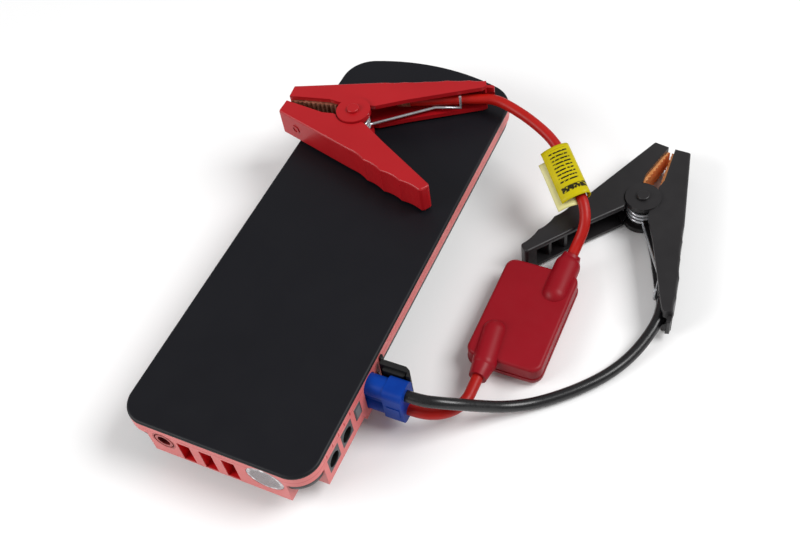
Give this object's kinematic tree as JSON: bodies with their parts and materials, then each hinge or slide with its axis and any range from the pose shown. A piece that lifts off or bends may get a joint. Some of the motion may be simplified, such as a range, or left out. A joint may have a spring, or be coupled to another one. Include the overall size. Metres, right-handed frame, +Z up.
{
  "type": "jump starter pack",
  "caption": "Flat battery pack with USB, charge and output ports, torch and button, a plug in its jump socket and two cords to spring clamps.",
  "frame": {"origin": "centre of the case's flat underside, on the surface it lies on", "axes": "+Z up through the top cover, +Y along the case away from the end with the USB sockets, +X towards the side with the jump socket and the leads"},
  "size_m": [0.2001, 0.23, 0.0482],
  "materials": {
    "cover_black": "soft-touch matt",
    "shell_black": "fine-textured matt",
    "band_coral": "satin",
    "screw_steel": "black zinc",
    "cell_foil": "laminated foil",
    "nickel": "satin nickel",
    "foam": "closed-cell foam",
    "board_green": "solder mask",
    "component_black": "moulded",
    "socket_steel": "stamped",
    "tongue_black": "moulded",
    "grey_plastic": "satin",
    "pin_gold": "polished",
    "lens_clear": "clear, lightly frosted",
    "reflector": "bright",
    "led_yellow": "clear resin over yellow",
    "copper": "bright copper",
    "rubber_black": "soft moulded",
    "plug_blue": "satin-gloss",
    "cord_black": "silicone",
    "cord_red": "silicone",
    "module_red": "satin-gloss",
    "clamp_red": "satin-gloss",
    "clamp_black": "satin",
    "zinc": "zinc plated",
    "tag_yellow": "satin label film"
  },
  "bodies": {
    "power_bank": {"top_cover": "cover_black", "bottom_shell": "shell_black", "band_frame": "band_coral", "case_screws": "screw_steel", "cell_1": "cell_foil", "cell_2": "cell_foil", "cell_3": "cell_foil", "cell_tabs": "nickel", "foam_bottom": "foam", "foam_top": "foam", "main_board": "board_green", "level_board": "board_green", "board_components": "component_black", "button_switch": "component_black", "jump_socket": "component_black", "usb_socket_1": "socket_steel", "usb_socket_2": "socket_steel", "usb_socket_3": "socket_steel", "usb_tongue_1": "tongue_black", "usb_tongue_2": "tongue_black", "usb_tongue_3": "tongue_black", "charge_inlet": "tongue_black", "output_jack_1": "grey_plastic", "output_jack_2": "grey_plastic", "inlet_pin": "pin_gold", "jack_pins": "pin_gold", "jump_pins": "pin_gold", "torch_lens": "lens_clear", "level_windows": "lens_clear", "torch_reflector": "reflector", "torch_led": "led_yellow", "level_leds": "led_yellow", "bus_bars": "copper", "cap_strap": "rubber_black"},
    "lead": {"plug_housing": "plug_blue", "plug_contacts": "pin_gold", "black_cord": "cord_black", "red_cord_short": "cord_red", "red_cord_long": "cord_red", "cable_tag": "tag_yellow", "module_top": "module_red", "module_base": "module_red", "module_board": "board_green", "red_cable_arm": "clamp_red", "red_cable_jaw": "copper", "red_pivot_pin": "clamp_red", "red_spring": "zinc", "red_cable_crimp": "copper", "black_cable_arm": "clamp_black", "black_cable_jaw": "copper", "black_pivot_pin": "clamp_black", "black_spring": "zinc", "black_cable_crimp": "copper"},
    "red_free_handle": {"red_free_arm": "clamp_red", "red_free_jaw": "copper"},
    "black_free_handle": {"black_free_arm": "clamp_black", "black_free_jaw": "copper"},
    "button": {"power_button": "grey_plastic"},
    "cap": {"socket_cap": "rubber_black"}
  },
  "joints": [
    {"name": "lead_unplug", "type": "slide", "parent": "power_bank", "child": "lead", "axis": [1, 0, 0], "range_m": [0, 0.03]},
    {"name": "red_clamp_hinge", "type": "hinge", "parent": "lead", "child": "red_free_handle", "pos_m": [-0.018, 0.058, 0.03855], "axis": [0, 0, 1], "range_deg": [0, 30], "stiffness_Nm_per_rad": 0.8, "springref_deg": -28.65, "deforming": ["red_spring"]},
    {"name": "black_clamp_hinge", "type": "hinge", "parent": "lead", "child": "black_free_handle", "pos_m": [0.1172, 0.0745, 0.00825], "axis": [0, 0, 1], "range_deg": [0, 3], "stiffness_Nm_per_rad": 0.8, "springref_deg": -28.65, "deforming": ["black_spring"]},
    {"name": "power_button", "type": "slide", "parent": "power_bank", "child": "button", "axis": [-1, 0, 0], "range_m": [0, 0.0008], "stiffness_N_per_m": 1200, "springref_m": -0.0004},
    {"name": "socket_cap_hinge", "type": "hinge", "parent": "power_bank", "child": "cap", "pos_m": [0.0457, -0.0519, 0.01745], "axis": [0, 0, 1], "range_deg": [0, 60]}
  ]
}
